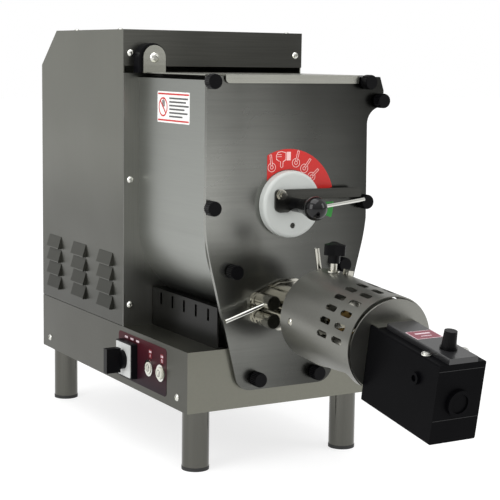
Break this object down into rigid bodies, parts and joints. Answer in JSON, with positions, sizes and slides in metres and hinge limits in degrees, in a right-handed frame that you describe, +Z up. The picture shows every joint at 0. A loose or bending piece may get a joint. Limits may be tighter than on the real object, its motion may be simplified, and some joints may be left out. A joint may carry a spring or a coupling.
{
  "type": "pasta extruder",
  "caption": "Electric kneading tub and screw extruder on four feet, with a front plate, gate handle, slotted guard tube and motor-driven cutter.",
  "frame": {"origin": "on the table, at the centre of the four feet", "axes": "+X to the right facing the front, +Y to the back, +Z up"},
  "size_m": [0.3459, 0.9182, 0.6052],
  "materials": {
    "steel_sides": "satin",
    "steel_panels": "satin",
    "steel_tub": "satin",
    "steel_plate": "brushed",
    "steel_feet": "brushed",
    "steel_guard": "satin",
    "steel_turned": "turned",
    "bezel_chrome": "polished",
    "gears": "machined",
    "bronze": "machined",
    "white_plastic": "satin",
    "black_plastic": "satin",
    "button_caps": "gloss",
    "rubber": "matt",
    "motor_alloy": "cast"
  },
  "bodies": {
    "frame": {"base_cabinet": "steel_sides", "bottom_cover": "steel_panels", "feet": "steel_feet", "foot_pads": "rubber", "housing_shell": "steel_sides", "front_panel": "steel_panels", "upper_panel": "steel_panels", "panel_screws": "steel_turned", "tub_skin": "steel_tub", "tub_liner": "steel_tub", "tub_cradle": "steel_panels", "extruder_barrel": "steel_turned", "front_plate": "steel_plate", "plate_studs": "steel_turned", "hinge_block": "black_plastic", "hinge_screw": "steel_turned", "die": "bronze", "die_nut": "steel_turned", "barrel_nut": "steel_turned", "head_flange": "steel_turned", "clamp_posts": "steel_turned", "clamp_rod": "steel_turned", "guard_tube": "steel_guard", "guard_collar": "steel_guard", "guard_screws": "steel_turned", "cutter_bracket": "steel_guard", "cutter_case": "black_plastic", "cutter_cover": "black_plastic", "cutter_fittings": "black_plastic", "switch_frame": "black_plastic", "switch_plate": "white_plastic", "button_bezels": "bezel_chrome", "gearmotor": "motor_alloy", "power_inlet": "black_plastic"},
    "lid": {"lid": "steel_plate"},
    "knob_1_body": {"knob_1": "black_plastic"},
    "knob_2_body": {"knob_2": "black_plastic"},
    "knob_3_body": {"knob_3": "black_plastic"},
    "knob_4_body": {"knob_4": "black_plastic"},
    "knob_5_body": {"knob_5": "black_plastic"},
    "knob_6_body": {"knob_6": "black_plastic"},
    "knob_7_body": {"knob_7": "black_plastic"},
    "knob_8_body": {"knob_8": "black_plastic"},
    "knob_9_body": {"knob_9": "black_plastic"},
    "gate": {"gate_disc": "white_plastic", "gate_lever": "steel_plate", "lever_bolt": "steel_turned", "gate_handle": "black_plastic", "gate_rod": "steel_turned", "gate_shutter": "steel_turned"},
    "kneading_shaft": {"kneader": "steel_turned", "kneader_gear": "gears"},
    "extruder_screw": {"auger": "steel_turned", "auger_gear": "gears"},
    "switch_knob": {"switch_handle": "black_plastic"},
    "button_on_body": {"button_on": "button_caps"},
    "button_off_body": {"button_off": "button_caps"},
    "clamp_knob_body": {"clamp_knob": "black_plastic"},
    "speed_knob_body": {"speed_knob": "black_plastic"},
    "cutter_knife": {"knife": "steel_turned"}
  },
  "joints": [
    {"name": "lid_hinge", "type": "hinge", "parent": "frame", "child": "lid", "pos_m": [-0.112, -0.076, 0.5634], "axis": [0, -1, 0], "range_deg": [0, 110]},
    {"name": "knob_1_spin", "type": "hinge", "parent": "frame", "child": "knob_1_body", "pos_m": [-0.1236, -0.274, 0.5338], "axis": [0, -1, 0], "continuous": true},
    {"name": "knob_2_spin", "type": "hinge", "parent": "frame", "child": "knob_2_body", "pos_m": [-0.1224, -0.274, 0.3664], "axis": [0, -1, 0], "continuous": true},
    {"name": "knob_3_spin", "type": "hinge", "parent": "frame", "child": "knob_3_body", "pos_m": [-0.0873, -0.274, 0.279], "axis": [0, -1, 0], "continuous": true},
    {"name": "knob_4_spin", "type": "hinge", "parent": "frame", "child": "knob_4_body", "pos_m": [-0.048, -0.274, 0.1272], "axis": [0, -1, 0], "continuous": true},
    {"name": "knob_5_spin", "type": "hinge", "parent": "frame", "child": "knob_5_body", "pos_m": [0.048, -0.274, 0.1272], "axis": [0, -1, 0], "continuous": true},
    {"name": "knob_6_spin", "type": "hinge", "parent": "frame", "child": "knob_6_body", "pos_m": [0.0873, -0.274, 0.279], "axis": [0, -1, 0], "continuous": true},
    {"name": "knob_7_spin", "type": "hinge", "parent": "frame", "child": "knob_7_body", "pos_m": [0.1224, -0.274, 0.3664], "axis": [0, -1, 0], "continuous": true},
    {"name": "knob_8_spin", "type": "hinge", "parent": "frame", "child": "knob_8_body", "pos_m": [0.1236, -0.274, 0.5338], "axis": [0, -1, 0], "continuous": true},
    {"name": "knob_9_spin", "type": "hinge", "parent": "frame", "child": "knob_9_body", "pos_m": [0.1464, -0.274, 0.5078], "axis": [0, -1, 0], "continuous": true},
    {"name": "gate_turn", "type": "hinge", "parent": "frame", "child": "gate", "pos_m": [0, -0.262, 0.3675], "axis": [0, -1, 0], "range_deg": [0, 105]},
    {"name": "kneader_spin", "type": "hinge", "parent": "frame", "child": "kneading_shaft", "pos_m": [0, -0.15, 0.3675], "axis": [0, -1, 0], "continuous": true},
    {"name": "auger_spin", "type": "hinge", "parent": "frame", "child": "extruder_screw", "pos_m": [0, -0.15, 0.2275], "axis": [0, -1, 0], "continuous": true},
    {"name": "switch_turn", "type": "hinge", "parent": "frame", "child": "switch_knob", "pos_m": [-0.16, -0.078, 0.128], "axis": [-1, 0, 0], "range_deg": [-60, 60]},
    {"name": "button_on_press", "type": "slide", "parent": "frame", "child": "button_on_body", "axis": [1, 0, 0], "range_m": [0, 0.003], "stiffness_N_per_m": 400, "springref_m": -0.001},
    {"name": "button_off_press", "type": "slide", "parent": "frame", "child": "button_off_body", "axis": [1, 0, 0], "range_m": [0, 0.003], "stiffness_N_per_m": 400, "springref_m": -0.001},
    {"name": "clamp_spin", "type": "hinge", "parent": "frame", "child": "clamp_knob_body", "pos_m": [0, -0.38079, 0.28843], "axis": [0, -0.0785, 0.9969], "continuous": true},
    {"name": "speed_turn", "type": "hinge", "parent": "frame", "child": "speed_knob_body", "pos_m": [0, -0.62565, 0.23325], "axis": [0, -0.165, 0.9863], "range_deg": [-150, 150]},
    {"name": "cutter_spin", "type": "hinge", "parent": "frame", "child": "cutter_knife", "pos_m": [0, -0.51055, 0.21195], "axis": [0, 0.9863, 0.165], "continuous": true}
  ],
  "couplings": [
    {"joint": "auger_spin", "follows": "kneader_spin", "ratio": -1.8}
  ]
}
